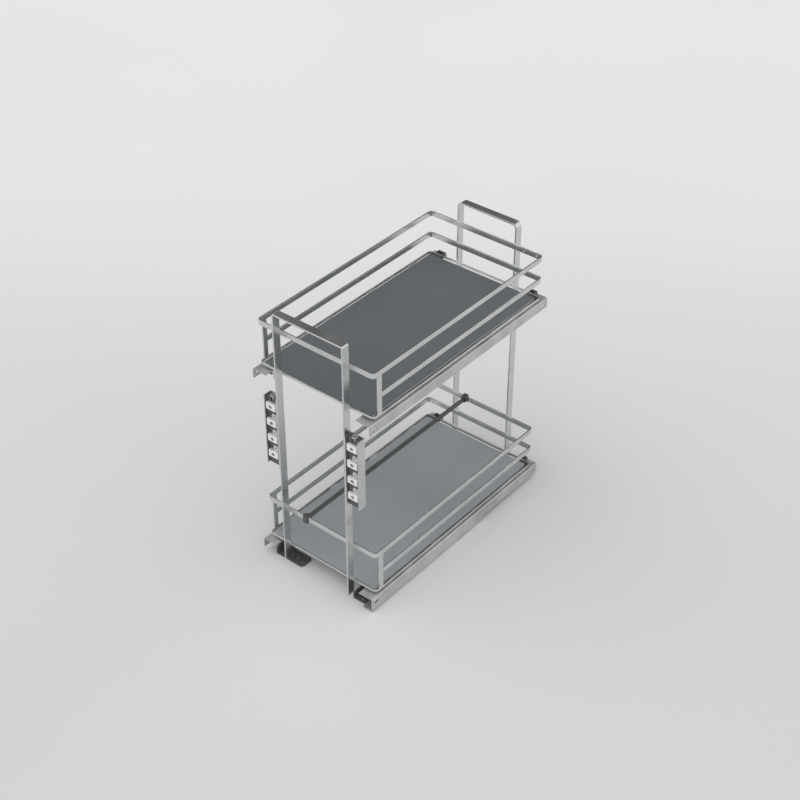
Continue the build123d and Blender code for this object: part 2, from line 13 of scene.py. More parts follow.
import bmesh
import bpy
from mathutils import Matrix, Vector

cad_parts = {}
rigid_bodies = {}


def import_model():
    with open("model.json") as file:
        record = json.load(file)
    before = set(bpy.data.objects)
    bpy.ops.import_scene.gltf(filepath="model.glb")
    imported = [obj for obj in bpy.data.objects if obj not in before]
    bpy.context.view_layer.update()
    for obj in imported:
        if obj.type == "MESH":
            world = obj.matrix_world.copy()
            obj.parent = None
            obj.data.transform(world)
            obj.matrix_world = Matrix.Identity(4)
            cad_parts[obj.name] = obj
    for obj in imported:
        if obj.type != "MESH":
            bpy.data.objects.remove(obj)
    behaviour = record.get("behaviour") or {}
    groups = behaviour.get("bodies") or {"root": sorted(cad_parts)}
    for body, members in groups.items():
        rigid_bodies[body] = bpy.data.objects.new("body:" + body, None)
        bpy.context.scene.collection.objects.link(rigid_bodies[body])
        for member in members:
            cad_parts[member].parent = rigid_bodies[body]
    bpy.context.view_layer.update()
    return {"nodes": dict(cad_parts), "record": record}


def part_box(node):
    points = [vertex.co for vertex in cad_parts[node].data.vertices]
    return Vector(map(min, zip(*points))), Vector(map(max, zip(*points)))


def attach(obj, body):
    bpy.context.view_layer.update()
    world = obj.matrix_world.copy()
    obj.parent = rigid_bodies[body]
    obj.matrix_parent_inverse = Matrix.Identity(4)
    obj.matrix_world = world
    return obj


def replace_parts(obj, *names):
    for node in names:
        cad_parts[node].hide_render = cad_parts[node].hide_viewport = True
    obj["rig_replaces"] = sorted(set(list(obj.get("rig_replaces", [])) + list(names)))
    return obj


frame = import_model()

record = frame["record"]
body_of = {node: body for body, nodes in record["behaviour"]["bodies"].items() for node in nodes}
slot_of = {part["node"]: part["material_slot"] for part in record["subparts"]}

# %% [markdown]
# ## How the finishes are made
#
# Every finish is a Principled shader whose colour, roughness and bump come from noise on Object
# coordinates. A node's object sits at the origin, so Object coordinates are metres in the shared
# frame, and one finish runs on unbroken from bar to bar. An image texture would need unwrapping
# of hundreds of small faces; noise needs none and keeps its true scale on every part.

# %% Helpers for nodes and coordinates
MM = 0.001


def add(tree, kind, inputs=None, **settings):
    """One node with its settings. An input takes a value, or a link from another node's socket."""
    node = tree.nodes.new(kind)
    for name, value in settings.items():
        setattr(node, name, value)
    for name, value in (inputs or {}).items():
        if isinstance(value, bpy.types.NodeSocket):
            tree.links.new(value, node.inputs[name])
        else:
            node.inputs[name].default_value = value
    return node


def start_finish(name, **constants):
    """New material, its node tree and its Principled shader, with constants on the shader's sockets."""
    finish = bpy.data.materials.new(name)
    finish.use_nodes = True
    shader = finish.node_tree.nodes["Principled BSDF"]
    for socket, value in constants.items():
        shader.inputs[socket].default_value = value
    return finish, finish.node_tree, shader


def drawn_out(tree, stretch=(1, 1, 1)):
    """Object coordinates, scaled on each axis: below 1 draws a pattern out along that axis."""
    place = add(tree, "ShaderNodeTexCoord").outputs["Object"]
    return add(tree, "ShaderNodeMapping", {"Vector": place, "Scale": stretch}).outputs["Vector"]


# %% Helpers for patterns, colours and relief


def noise(tree, coordinates, feature, detail=3.0):
    """Noise whose features are about this many metres across."""
    return add(tree, "ShaderNodeTexNoise", {"Vector": coordinates, "Scale": 1 / feature, "Detail": detail,
                                            "Roughness": 0.55}).outputs["Fac"]


def between(tree, factor, low, high, start=0.35, end=0.65):
    """Turns a pattern's value into a number between low and high."""
    turned = add(tree, "ShaderNodeMapRange", {"Value": factor, "From Min": start, "From Max": end,
                                              "To Min": low, "To Max": high})
    return turned.outputs["Result"]


def colour_between(tree, factor, low, high, start=0.35, end=0.65):
    """Turns a pattern's value into a colour between two."""
    ramp = add(tree, "ShaderNodeValToRGB", {"Fac": factor})
    for stop, position, colour in zip(ramp.color_ramp.elements, (start, end), (low, high)):
        stop.position = position
        stop.color = (*colour, 1)
    return ramp.outputs["Color"]


def shaded_by(tree, colour, factor, darkest, start, end):
    """The colour, darkened to this share of itself where the pattern's value is low."""
    shade = colour_between(tree, factor, (darkest,) * 3, (1, 1, 1), start, end)
    mix = add(tree, "ShaderNodeMix", data_type="RGBA", blend_type="MULTIPLY")
    mix.inputs["Factor"].default_value = 1.0
    tree.links.new(colour, mix.inputs["A"])
    tree.links.new(shade, mix.inputs["B"])
    return mix.outputs["Result"]


def bump(tree, shader, heights, depth, strength, before=None):
    """Bump of this depth in metres. It can follow an earlier bump."""
    node = add(tree, "ShaderNodeBump", {"Height": heights, "Strength": strength, "Distance": depth})
    if before is not None:
        tree.links.new(before.outputs["Normal"], node.inputs["Normal"])
    tree.links.new(node.outputs["Normal"], shader.inputs["Normal"])
    return node


# %% [markdown]
# ## Plated metals
#
# The baskets and portals are flat steel bar with a satin chrome plate. The plate is smooth, but it
# follows the rolled bar beneath, so a reflection in it wanders a little. Three patterns do this: a
# slow one for faint clouds in the sheen, long shallow waves from the rolling mill and sparse fine
# hairlines from handling. The door brackets are plated like the bars, the rails are a duller
# sheet with a fine grain along their length, and the runners are zinc plated and a little bluer.
# The clamp screws are a dull zinc, so they stand out in their white blocks.

# %% How a plated metal is made
CLOUD_SIZE, WAVE_SIZE = 45 * MM, 9 * MM
HAIRLINE_WIDTH, HAIRLINE_DEPTH = 1.1 * MM, 0.004 * MM
SCORED_ROUGHNESS = 0.05


def plated_metal(name, dark, light, gloss, clouded, hairlines, wave_depth, scored_tone=0.95):
    """Plated metal. gloss and clouded are its roughness where it is brightest and dullest."""
    finish, tree, shader = start_finish(name, Metallic=1.0)
    plain = drawn_out(tree)
    clouds = noise(tree, plain, CLOUD_SIZE, detail=2.0)
    scratches = noise(tree, drawn_out(tree, hairlines), HAIRLINE_WIDTH, detail=2.0)
    waves = noise(tree, plain, WAVE_SIZE, detail=1.0)
    colour = colour_between(tree, clouds, dark, light)
    tree.links.new(shaded_by(tree, colour, scratches, scored_tone, 0.30, 0.42), shader.inputs["Base Color"])
    sheen = between(tree, clouds, gloss, clouded)
    scored = between(tree, scratches, SCORED_ROUGHNESS, 0.0, 0.28, 0.40)
    total = add(tree, "ShaderNodeMath", operation="ADD")
    tree.links.new(sheen, total.inputs[0])
    tree.links.new(scored, total.inputs[1])
    tree.links.new(total.outputs["Value"], shader.inputs["Roughness"])
    rolled = bump(tree, shader, waves, wave_depth, 0.5)
    bump(tree, shader, scratches, HAIRLINE_DEPTH, 0.35, rolled)
    return finish


# %% Plated bar, plated sheet and zinc
UPRIGHT, LONG_UPRIGHT, FRONT_TO_BACK, EVERY_WAY = (1, 1, 0.12), (1, 1, 0.05), (1, 0.04, 1), (1, 1, 1)
bar_finish = plated_metal("bright_bar", (0.64, 0.645, 0.645), (0.70, 0.705, 0.705),
                          0.23, 0.31, UPRIGHT, 0.03 * MM)
bracket_finish = plated_metal("bright_sheet", (0.60, 0.605, 0.605), (0.66, 0.665, 0.665),
                              0.26, 0.34, LONG_UPRIGHT, 0.03 * MM)
rail_finish = plated_metal("rail_sheet", (0.53, 0.535, 0.535), (0.64, 0.645, 0.645),
                           0.54, 0.66, FRONT_TO_BACK, 0.04 * MM, 0.90)
runner_finish = plated_metal("zinc", (0.44, 0.46, 0.49), (0.57, 0.59, 0.62),
                             0.28, 0.40, FRONT_TO_BACK, 0.05 * MM)
screw_finish = plated_metal("dull_zinc", (0.46, 0.465, 0.47), (0.54, 0.545, 0.55),
                            0.40, 0.50, EVERY_WAY, 0.02 * MM)
print("metals", [f.name for f in (bar_finish, bracket_finish, rail_finish, runner_finish, screw_finish)])

# %% [markdown]
# ## Paint and plastics
#
# The black parts are two things: powder coat on the floor brackets, with its fine orange peel,
# and moulded nylon on the clips, the adjusters and the divider, with a spark-eroded grain. The
# clamp blocks are white acetal and the bushes a greyer one, both glossier and smoother than the
# nylon. The hollows of each grain and orange peel are painted darker, as painted shade. The tray
# panels are a light grey, and only their edges show beside the mats.

# %% Plastics and paint
SLOW_CHANGE = 20 * MM


def moulded(name, dark, light, gloss, dull, grain_size, grain_depth, grain_hollow_shade=0.84):
    """Moulded plastic or powder coat, with painted shade in the hollows of its grain. The last argument is
    how dark that painted shade is.
    """
    finish, tree, shader = start_finish(name)
    plain = drawn_out(tree)
    clouds = noise(tree, plain, SLOW_CHANGE)
    grain = noise(tree, plain, grain_size, detail=2.0)
    colour = colour_between(tree, clouds, dark, light)
    # Painted shade: the hollows of the grain are painted darker
    tree.links.new(shaded_by(tree, colour, grain, grain_hollow_shade, 0.35, 0.6), shader.inputs["Base Color"])
    tree.links.new(between(tree, clouds, gloss, dull), shader.inputs["Roughness"])
    bump(tree, shader, grain, grain_depth, 0.5)
    return finish


coat_finish = moulded("black_paint", (0.104, 0.105, 0.105), (0.128, 0.129, 0.129),
                      0.30, 0.42, 1.2 * MM, 0.05 * MM)
nylon_finish = moulded("black_plastic", (0.076, 0.076, 0.075), (0.096, 0.096, 0.095),
                       0.34, 0.48, 0.6 * MM, 0.03 * MM)
acetal_finish = moulded("white_plastic", (0.75, 0.75, 0.745), (0.83, 0.83, 0.82),
                        0.28, 0.40, 1.0 * MM, 0.02 * MM, 0.95)
bush_finish = moulded("bush_plastic", (0.58, 0.58, 0.575), (0.66, 0.66, 0.65),
                      0.30, 0.42, 0.8 * MM, 0.02 * MM, 0.95)
panel_finish = moulded("panel_grey", (0.42, 0.425, 0.43), (0.48, 0.485, 0.49),
                       0.40, 0.52, 1.2 * MM, 0.04 * MM, 0.90)
plastics = (coat_finish, nylon_finish, acetal_finish, bush_finish, panel_finish)
print("plastics and paint", [f.name for f in plastics])

# %% [markdown]
# ## The mats
#
# Each tray is lined with a thin grey mat that stops jars from sliding. Its face is a close field
# of fine dots, pressed in staggered rows, and the grey between them is slightly cloudy. The dots
# are painted darker, as painted shade in their hollows. A Voronoi pattern with no randomness gives
# the rows exactly, and a little randomness on top keeps them from looking printed. Both mats are
# one mat, but the lower one is painted a lighter grey than the upper one: painted light that makes
# up for the shade of the upper basket over it.

# %% Dotted grain of the mats
DOT_PITCH, DOT_DEPTH = 1.6 * MM, 0.1 * MM
WEAR_SIZE, FLECK_SIZE = 160 * MM, 2.2 * MM


def mat_material(name, dark, light):
    """Grey mat with fine pressed dots, painted darker as painted shade in their hollows, and wear that shows
    as a change of sheen.
    """
    finish, tree, shader = start_finish(name)
    plain = drawn_out(tree)
    worn = noise(tree, plain, WEAR_SIZE)
    fleck = noise(tree, plain, FLECK_SIZE, detail=2.0)
    dots = add(tree, "ShaderNodeTexVoronoi", {"Vector": plain, "Scale": 1 / DOT_PITCH, "Randomness": 0.25},
               feature="F1").outputs["Distance"]
    colour = colour_between(tree, worn, dark, light, 0.25, 0.75)
    # Painted shade: the pressed dots are painted darker
    colour = shaded_by(tree, colour, dots, 0.86, 0.20, 0.45)
    tree.links.new(shaded_by(tree, colour, fleck, 0.88, 0.35, 0.60), shader.inputs["Base Color"])
    tree.links.new(between(tree, worn, 0.50, 0.60), shader.inputs["Roughness"])
    bump(tree, shader, dots, DOT_DEPTH, 0.5)
    return finish


mat_finish = mat_material("mat_grey", (0.125, 0.136, 0.144), (0.143, 0.155, 0.164))
# Painted light: the lower mat is the same mat as the upper one, painted lighter to make up for the shade that
# the upper basket casts on it
lower_mat_painted_lighter_finish = mat_material("mat_grey_painted_lighter", (0.320, 0.340, 0.357), (0.358, 0.380, 0.398))
print("mats", mat_finish.name, lower_mat_painted_lighter_finish.name)

# %% Which node takes which finish
TIERS, HANDS = ("lower", "upper"), ("left", "right")
finish_of_slot = {"bright_bar": bar_finish, "bright_sheet": bracket_finish, "zinc": runner_finish,
                  "black_paint": coat_finish, "black_plastic": nylon_finish,
                  "white_plastic": acetal_finish, "bush_plastic": bush_finish,
                  "panel_grey": panel_finish, "mat_grey": mat_finish}
finish_of = {node: finish_of_slot[slot] for node, slot in slot_of.items()}
# Painted light: the lower mat takes the lighter painted copy of the mat
finish_of["mat_lower"] = lower_mat_painted_lighter_finish
for hand in HANDS:
    finish_of[f"clamp_screws_{hand}"] = screw_finish
    finish_of[f"height_screw_{hand}"] = rail_finish
    for tier in TIERS:
        finish_of[f"rail_{tier}_{hand}"] = rail_finish
print("finishes", len(set(finish_of.values())))

# %% [markdown]
# ## Finishes on the nodes
#
# A node keeps its construction mesh, which is loose triangles and is never changed. It takes its
# finish here all the same, although a finer piece will stand for it, so that the two never differ.
# The finer piece hangs in the node's place, rides on its body and smooths its shallow edges only.

# %% Give each node its finish
for node, piece in frame["nodes"].items():
    piece.data.materials.clear()
    piece.data.materials.append(finish_of[node])
print("dressed", len(frame["nodes"]), "nodes")

# %% Hang a finished piece in a node's place
SMOOTH_BELOW = math.radians(38)


def stand_for(node, mesh, ending):
    """Makes a piece of this mesh that stands for the node, rides on its body and has its finish."""
    mesh.shade_smooth()
    mesh.set_sharp_from_angle(angle=SMOOTH_BELOW)
    mesh.materials.clear()
    mesh.materials.append(finish_of[node])
    piece = bpy.data.objects.new(f"{node}_{ending}", mesh)
    bpy.context.scene.collection.objects.link(piece)
    piece.modifiers.new("Even normals", "WEIGHTED_NORMAL").keep_sharp = True
    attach(piece, body_of[node])
    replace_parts(piece, node)
    print(piece.name, len(mesh.polygons), "faces")


# %% [markdown]
# ## Growing what repeats
#
# Two rules make half of this rack. One: each rail and rim of the baskets and each portal is a
# length of flat strip, bent at two or four corners. Two: nearly all small round parts are turned
# bodies in a row with a few like them. Each rule becomes one Geometry Nodes tree with named sizes,
# so that one tree serves all its pieces. Bending and turning by hand in mesh code would work too,
# but every piece would repeat the same steps. The tree's result is turned into a plain mesh,
# because the finished model carries no modifiers that make geometry.

# %% Helpers for numbers and points


def new_tree(name, sizes):
    """Empty geometry tree with these named inputs. Returns the tree and its input sockets."""
    tree = bpy.data.node_groups.new(name, "GeometryNodeTree")
    tree.interface.new_socket(name="Shape", in_out="OUTPUT", socket_type="NodeSocketGeometry")
    for label, kind in sizes.items():
        tree.interface.new_socket(name=label, in_out="INPUT", socket_type="NodeSocket" + kind)
    return tree, add(tree, "NodeGroupInput").outputs


def fill(tree, sockets, values):
    """Gives each socket its value, or a link where the value is another socket."""
    for socket, value in zip(sockets, values):
        if isinstance(value, bpy.types.NodeSocket):
            tree.links.new(value, socket)
        else:
            socket.default_value = value


def reckon(tree, operation, first, second):
    """Result of one sum on two numbers or sockets."""
    node = add(tree, "ShaderNodeMath", operation=operation)
    fill(tree, node.inputs, (first, second))
    return node.outputs["Value"]


def upward(tree, height):
    """Vector of this height along Z."""
    return add(tree, "ShaderNodeCombineXYZ", {"Z": height}).outputs["Vector"]


def one_each(tree, kind, values):
    """Field that gives point 0 the first value, point 1 the second, and so on."""
    switch = add(tree, "GeometryNodeIndexSwitch", data_type=kind)
    while len(switch.index_switch_items) < len(values):
        switch.index_switch_items.new()
    tree.links.new(add(tree, "GeometryNodeInputIndex").outputs["Index"], switch.inputs["Index"])
    fill(tree, list(switch.inputs)[1:], values)
    return switch.outputs["Output"]


def path_through(tree, count, positions):
    """Open path through this many points."""
    line = add(tree, "GeometryNodeMeshLine", {"Count": count}).outputs["Mesh"]
    placed = add(tree, "GeometryNodeSetPosition", {"Geometry": line, "Position": positions})
    return add(tree, "GeometryNodeMeshToCurve", {"Mesh": placed.outputs["Geometry"]}).outputs["Curve"]


# %% Helpers for shapes


def only_if(tree, number, without, when):
    """The shape when, where the number is above zero, and without elsewhere."""
    switch = add(tree, "GeometryNodeSwitch", {"Switch": reckon(tree, "GREATER_THAN", number, 0.0),
                                              "False": without, "True": when}, input_type="GEOMETRY")
    return switch.outputs["Output"]


def cut(tree, shape, tool):
    """The shape with the tool's volume taken away."""
    return add(tree, "GeometryNodeMeshBoolean", {"Mesh 1": shape, "Mesh 2": tool},
               operation="DIFFERENCE").outputs["Mesh"]


def close_tree(tree, shape, finish):
    """Ends a tree: real geometry in one finish."""
    real = add(tree, "GeometryNodeRealizeInstances", {"Geometry": shape}).outputs["Geometry"]
    painted = add(tree, "GeometryNodeSetMaterial", {"Geometry": real, "Material": finish})
    tree.links.new(painted.outputs["Geometry"], add(tree, "NodeGroupOutput").inputs["Shape"])


# %% Turn a tree into a plain mesh
GROWN_MERGE = 0.001 * MM


def grow(name, tree, sizes):
    """Plain mesh that a tree makes from these sizes."""
    carrier = bpy.data.objects.new(name, bpy.data.meshes.new(name))
    bpy.context.scene.collection.objects.link(carrier)
    modifier = carrier.modifiers.new("Grow", "NODES")
    modifier.node_group = tree
    sockets = {socket.name: socket.identifier for socket in tree.interface.items_tree}
    for label, value in sizes.items():
        modifier[sockets[label]] = value
    ready = carrier.evaluated_get(bpy.context.evaluated_depsgraph_get())
    mesh = bpy.data.meshes.new_from_object(ready)
    mesh.name = name
    bpy.data.objects.remove(carrier)
    work = bmesh.new()
    work.from_mesh(mesh)
    bmesh.ops.remove_doubles(work, verts=work.verts, dist=GROWN_MERGE)
    bmesh.ops.recalc_face_normals(work, faces=work.faces)
    work.to_mesh(mesh)
    work.free()
    return mesh


# %% [markdown]
# ## Bars and portals
#
# On the real rack a machine bends each basket bar from straight strip, and the bends are smooth
# arcs. The tree does the same: a path through four corners, rounded at each, and a small
# rectangle with eased arrises swept along it. The section stands upright on its own, because a
# flat path never twists it. The upper basket's rear run has two small holes, so the tree can also
# drill a row of holes.

# %% Tree: one strip, bent
BEND_STEPS, ARRIS_STEPS = 12, 3
DRILL_LENGTH, DRILL_STEPS = 20 * MM, 32
ALONG_Y = (math.pi / 2, 0, 0)


def bent_strip_tree():
    """Flat strip along a path through four corners, with an optional row of holes."""
    tree, size = new_tree("bent_strip", {
        "Corner 1": "Vector", "Corner 2": "Vector", "Corner 3": "Vector", "Corner 4": "Vector",
        "Closed": "Bool", "Bend": "Float", "Thickness": "Float", "Width": "Float", "Arris": "Float",
        "Holes": "Int", "First hole": "Vector", "Hole step": "Vector", "Hole radius": "Float",
        "Finish": "Material"})
    corners = one_each(tree, "VECTOR", [size[f"Corner {i}"] for i in (1, 2, 3, 4)])
    loop = add(tree, "GeometryNodeSetSplineCyclic", {"Geometry": path_through(tree, 4, corners),
                                                     "Cyclic": size["Closed"]}).outputs["Geometry"]
    path = add(tree, "GeometryNodeFilletCurve", {"Curve": loop, "Radius": size["Bend"],
                                                 "Count": BEND_STEPS}, mode="POLY").outputs["Curve"]
    section = add(tree, "GeometryNodeCurvePrimitiveQuadrilateral", {"Width": size["Thickness"],
                                                                    "Height": size["Width"]})
    eased_section = add(tree, "GeometryNodeFilletCurve", {"Curve": section.outputs["Curve"],
                                                          "Radius": size["Arris"],
                                                          "Count": ARRIS_STEPS}, mode="POLY")
    strip = add(tree, "GeometryNodeCurveToMesh", {"Curve": path, "Fill Caps": True,
                                                  "Profile Curve": eased_section.outputs["Curve"]})
    places = add(tree, "GeometryNodeMeshLine", {"Count": size["Holes"], "Start Location": size["First hole"],
                                                "Offset": size["Hole step"]})
    bit = add(tree, "GeometryNodeMeshCylinder", {"Vertices": DRILL_STEPS, "Radius": size["Hole radius"],
                                                 "Depth": DRILL_LENGTH})
    bits = add(tree, "GeometryNodeInstanceOnPoints", {"Points": places.outputs["Mesh"],
                                                      "Instance": bit.outputs["Mesh"],
                                                      "Rotation": ALONG_Y})
    drilled = cut(tree, strip.outputs["Mesh"], bits.outputs["Instances"])
    close_tree(tree, only_if(tree, size["Holes"], strip.outputs["Mesh"], drilled), size["Finish"])
    return tree


bent_strip = bent_strip_tree()
print("tree", bent_strip.name, len(bent_strip.nodes), "nodes")

# %% Bend a strip
BAR, ARRIS = 3 * MM, 0.5 * MM
HOLE_RADIUS = 1.75 * MM


def bend_strip(node, corners, outer_bend, width, closed, holes=()):
    """A bent strip that stands for a node. The tree bends the strip's middle line."""
    sizes = {f"Corner {i + 1}": corner for i, corner in enumerate(corners)}
    sizes.update({"Closed": closed, "Bend": outer_bend - BAR / 2, "Thickness": BAR, "Width": width,
                  "Arris": ARRIS, "Holes": len(holes), "Finish": finish_of[node]})
    if holes:
        sizes.update({"First hole": holes[0], "Hole step": [b - a for a, b in zip(*holes)],
                      "Hole radius": HOLE_RADIUS})
    stand_for(node, grow(node, bent_strip, sizes), "strip")


# %% Bend the basket bars
X, Y, Z = 0, 1, 2
BAR_HEIGHT, RIM_HEIGHT = 10 * MM, 4 * MM
RAIL_CORNER, RIM_CORNER = 8 * MM, 10 * MM
REAR_HOLES = (88.5 * MM, 115.6 * MM)


def loop_corners(node, open_front=False):
    """Corners on a bar's middle line, from the node's box: front left, back left, back right, front right."""
    low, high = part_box(node)
    left, right = low[X] + BAR / 2, high[X] - BAR / 2
    front, back = low[Y] + (0 if open_front else BAR / 2), high[Y] - BAR / 2
    level = (low[Z] + high[Z]) / 2
    return [(left, front, level), (left, back, level), (right, back, level), (right, front, level)]


for tier in TIERS:
    top_rail, mid_rail, tray_rim = f"top_rail_{tier}", f"mid_rail_{tier}", f"tray_rim_{tier}"
    corners = loop_corners(top_rail)
    back_left = corners[1]
    holes = [(x, *back_left[Y:]) for x in REAR_HOLES] if tier == "upper" else ()
    bend_strip(top_rail, corners, RAIL_CORNER, BAR_HEIGHT, True, holes)
    bend_strip(mid_rail, loop_corners(mid_rail, True), RAIL_CORNER, BAR_HEIGHT, False)
    bend_strip(tray_rim, loop_corners(tray_rim), RIM_CORNER, RIM_HEIGHT, True)

# %% Bend the portals
PORTAL_STRIP = 16 * MM
PORTAL_CORNERS = {"front_portal": 4 * MM, "rear_portal": 10 * MM}
for node, outer_bend in PORTAL_CORNERS.items():
    low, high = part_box(node)
    left, right = low[X] + BAR / 2, high[X] - BAR / 2
    depth, top = (low[Y] + high[Y]) / 2, high[Z] - BAR / 2
    corners = [(left, depth, low[Z]), (left, depth, top), (right, depth, top), (right, depth, low[Z])]
    bend_strip(node, corners, outer_bend, PORTAL_STRIP, False)

# %% [markdown]
# ## Fasteners and rollers
#
# The adjusters' clamp screws and bushes, the brackets' rivets and the runners' rollers are all
# turned parts, and each kind comes in rows. One tree lathes a body with bevelled ends from a
# path whose section grows and shrinks, adds a square shank, a bore, a round recess or a cross
# slot where a size for it is given, and sets copies of it on a grid of points. The tree knows
# nothing of the rack, so every place and size is given below, from the nodes' boxes and meshes or as listed
# sizes.

# %% A turned body and the tools that cut it
ROUND_STEPS = 40


def block(tree, x, y, z, top):
    """Block of these sides with its upper face at this height."""
    sides = add(tree, "ShaderNodeCombineXYZ", {"X": x, "Y": y, "Z": z}).outputs["Vector"]
    middle = reckon(tree, "SUBTRACT", top, reckon(tree, "MULTIPLY", z, 0.5))
    cuboid = add(tree, "GeometryNodeMeshCube", {"Size": sides}).outputs["Mesh"]
    return add(tree, "GeometryNodeTransform", {"Geometry": cuboid,
                                               "Translation": upward(tree, middle)}).outputs["Geometry"]


def drill(tree, radius, depth):
    """Cylinder that reaches this far to each side of a body's face."""
    both_ways = reckon(tree, "MULTIPLY", depth, 2.0)
    return add(tree, "GeometryNodeMeshCylinder", {"Vertices": ROUND_STEPS, "Radius": radius,
                                                  "Depth": both_ways}).outputs["Mesh"]


def lathed_body(tree, size):
    """Round body with bevelled ends. Its face is at the origin, and it reaches down from there."""
    foot = reckon(tree, "MULTIPLY", size["Length"], -1.0)
    above_foot = reckon(tree, "ADD", foot, size["Bevel"])
    below_face = reckon(tree, "MULTIPLY", size["Bevel"], -1.0)
    heights = one_each(tree, "FLOAT", [foot, above_foot, below_face, 0.0])
    narrow = reckon(tree, "SUBTRACT", size["Radius"], size["Bevel"])
    radii = one_each(tree, "FLOAT", [narrow, size["Radius"], size["Radius"], narrow])
    circle = add(tree, "GeometryNodeCurvePrimitiveCircle", {"Resolution": ROUND_STEPS, "Radius": 1.0})
    return add(tree, "GeometryNodeCurveToMesh", {"Curve": path_through(tree, 4, upward(tree, heights)),
                                                 "Profile Curve": circle.outputs["Curve"],
                                                 "Scale": radii, "Fill Caps": True}).outputs["Mesh"]


# %% What a turned body can have
SHANK_OVERLAP = 0.3 * MM
# Share of the first slot's depth. Two cutters with one floor would leave stray faces.
SECOND_SLOT = 0.97


def with_shank(tree, body, size):
    """The body with a square shank at its foot."""
    foot = reckon(tree, "MULTIPLY", size["Length"], -1.0)
    height = reckon(tree, "ADD", size["Shank length"], SHANK_OVERLAP)
    top = reckon(tree, "ADD", foot, SHANK_OVERLAP)
    shank = block(tree, size["Shank side"], size["Shank side"], height, top)
    joined = add(tree, "GeometryNodeMeshBoolean", operation="UNION")
    for part in (body, shank):
        tree.links.new(part, joined.inputs["Mesh 2"])
    return only_if(tree, size["Shank length"], body, joined.outputs["Mesh"])


def with_holes(tree, body, size):
    """The body with a bore right through it and a shallow round recess in its face."""
    whole = reckon(tree, "ADD", size["Length"], size["Shank length"])
    bored = cut(tree, body, drill(tree, size["Bore radius"], reckon(tree, "MULTIPLY", whole, 2.0)))
    body = only_if(tree, size["Bore radius"], body, bored)
    recessed = cut(tree, body, drill(tree, size["Recess radius"], size["Recess depth"]))
    return only_if(tree, size["Recess depth"], body, recessed)


def slot_cutter(tree, x, y, depth):
    """Block of these sides that cuts this deep into a body's face."""
    return block(tree, x, y, reckon(tree, "MULTIPLY", depth, 2.0), depth)


def with_cross_slot(tree, body, size):
    """The body with two slots that cross in its face."""
    deep, shallower = size["Slot depth"], reckon(tree, "MULTIPLY", size["Slot depth"], SECOND_SLOT)
    slotted = cut(tree, body, slot_cutter(tree, size["Slot length"], size["Slot width"], deep))
    crossed = cut(tree, slotted, slot_cutter(tree, size["Slot width"], size["Slot length"], shallower))
    return only_if(tree, deep, body, crossed)


# %% Tree: a grid of turned parts


def set_out(tree, body, size):
    """Copies of the body on rows of points."""
    row = add(tree, "GeometryNodeMeshLine", {"Count": size["Count"], "Start Location": size["First"],
                                             "Offset": size["Step"]})
    rows = add(tree, "GeometryNodeMeshLine", {"Count": size["Rows"], "Offset": size["Row step"]})
    grid = add(tree, "GeometryNodeInstanceOnPoints", {"Points": rows.outputs["Mesh"],
                                                      "Instance": row.outputs["Mesh"]})
    places = add(tree, "GeometryNodeRealizeInstances", {"Geometry": grid.outputs["Instances"]})
    return add(tree, "GeometryNodeInstanceOnPoints", {"Points": places.outputs["Geometry"], "Instance": body,
                                                      "Rotation": size["Turn"]}).outputs["Instances"]


def turned_parts_tree():
    """Turned bodies on a grid. A body's face is its upper end, and Turn lays it over."""
    tree, size = new_tree("turned_parts", {
        "Count": "Int", "First": "Vector", "Step": "Vector", "Rows": "Int", "Row step": "Vector",
        "Turn": "Rotation", "Radius": "Float", "Length": "Float", "Bevel": "Float",
        "Shank side": "Float", "Shank length": "Float", "Bore radius": "Float",
        "Recess radius": "Float", "Recess depth": "Float", "Slot length": "Float",
        "Slot width": "Float", "Slot depth": "Float", "Finish": "Material"})
    body = lathed_body(tree, size)
    for detail in (with_shank, with_holes, with_cross_slot):
        body = detail(tree, body, size)
    close_tree(tree, set_out(tree, body, size), size["Finish"])
    return tree


turned_parts = turned_parts_tree()
FACE_UP, FACE_FRONT, FACE_RIGHT = (0.0, 0.0, 0.0), (math.pi / 2, 0.0, 0.0), (0.0, math.pi / 2, 0.0)
print("tree", turned_parts.name, len(turned_parts.nodes), "nodes")

# %% Screws and bushes of the door adjusters
ADJUSTER_PITCH = 35 * MM
SCREW_BEVEL = 0.3 * MM
SLOT_LENGTH, SLOT_WIDTH, SLOT_DEPTH = 6.2 * MM, 1.5 * MM, 1.3 * MM
FLANGE, FLANGE_BEVEL, SHANK_SIDE, BUSH_BORE = 2 * MM, 0.4 * MM, 10 * MM, 2.15 * MM
BUSH_RECESS, BUSH_RECESS_DEPTH = 3.9 * MM, 0.8 * MM


def upright_row(node, count):
    """Sizes of one row down a door adjuster, with faces to the front, and the depth of the node's box."""
    low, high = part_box(node)
    middle, radius = (low[X] + high[X]) / 2, (high[X] - low[X]) / 2
    row = {"Count": count, "First": (middle, low[Y], high[Z] - radius),
           "Step": (0.0, 0.0, -ADJUSTER_PITCH), "Rows": 1, "Turn": FACE_FRONT, "Radius": radius,
           "Finish": finish_of[node]}
    return row, high[Y] - low[Y]


for hand in HANDS:
    node = f"clamp_screws_{hand}"
    row, depth = upright_row(node, 4)
    screw = {"Length": depth, "Bevel": SCREW_BEVEL, "Slot length": SLOT_LENGTH, "Slot width": SLOT_WIDTH,
             "Slot depth": SLOT_DEPTH}
    stand_for(node, grow(node, turned_parts, {**row, **screw}), "turned")
    node = f"door_bushes_{hand}"
    row, depth = upright_row(node, 3)
    bush = {"Length": FLANGE, "Bevel": FLANGE_BEVEL, "Shank side": SHANK_SIDE,
            "Shank length": depth - FLANGE, "Bore radius": BUSH_BORE, "Recess radius": BUSH_RECESS,
            "Recess depth": BUSH_RECESS_DEPTH}
    stand_for(node, grow(node, turned_parts, {**row, **bush}), "turned")

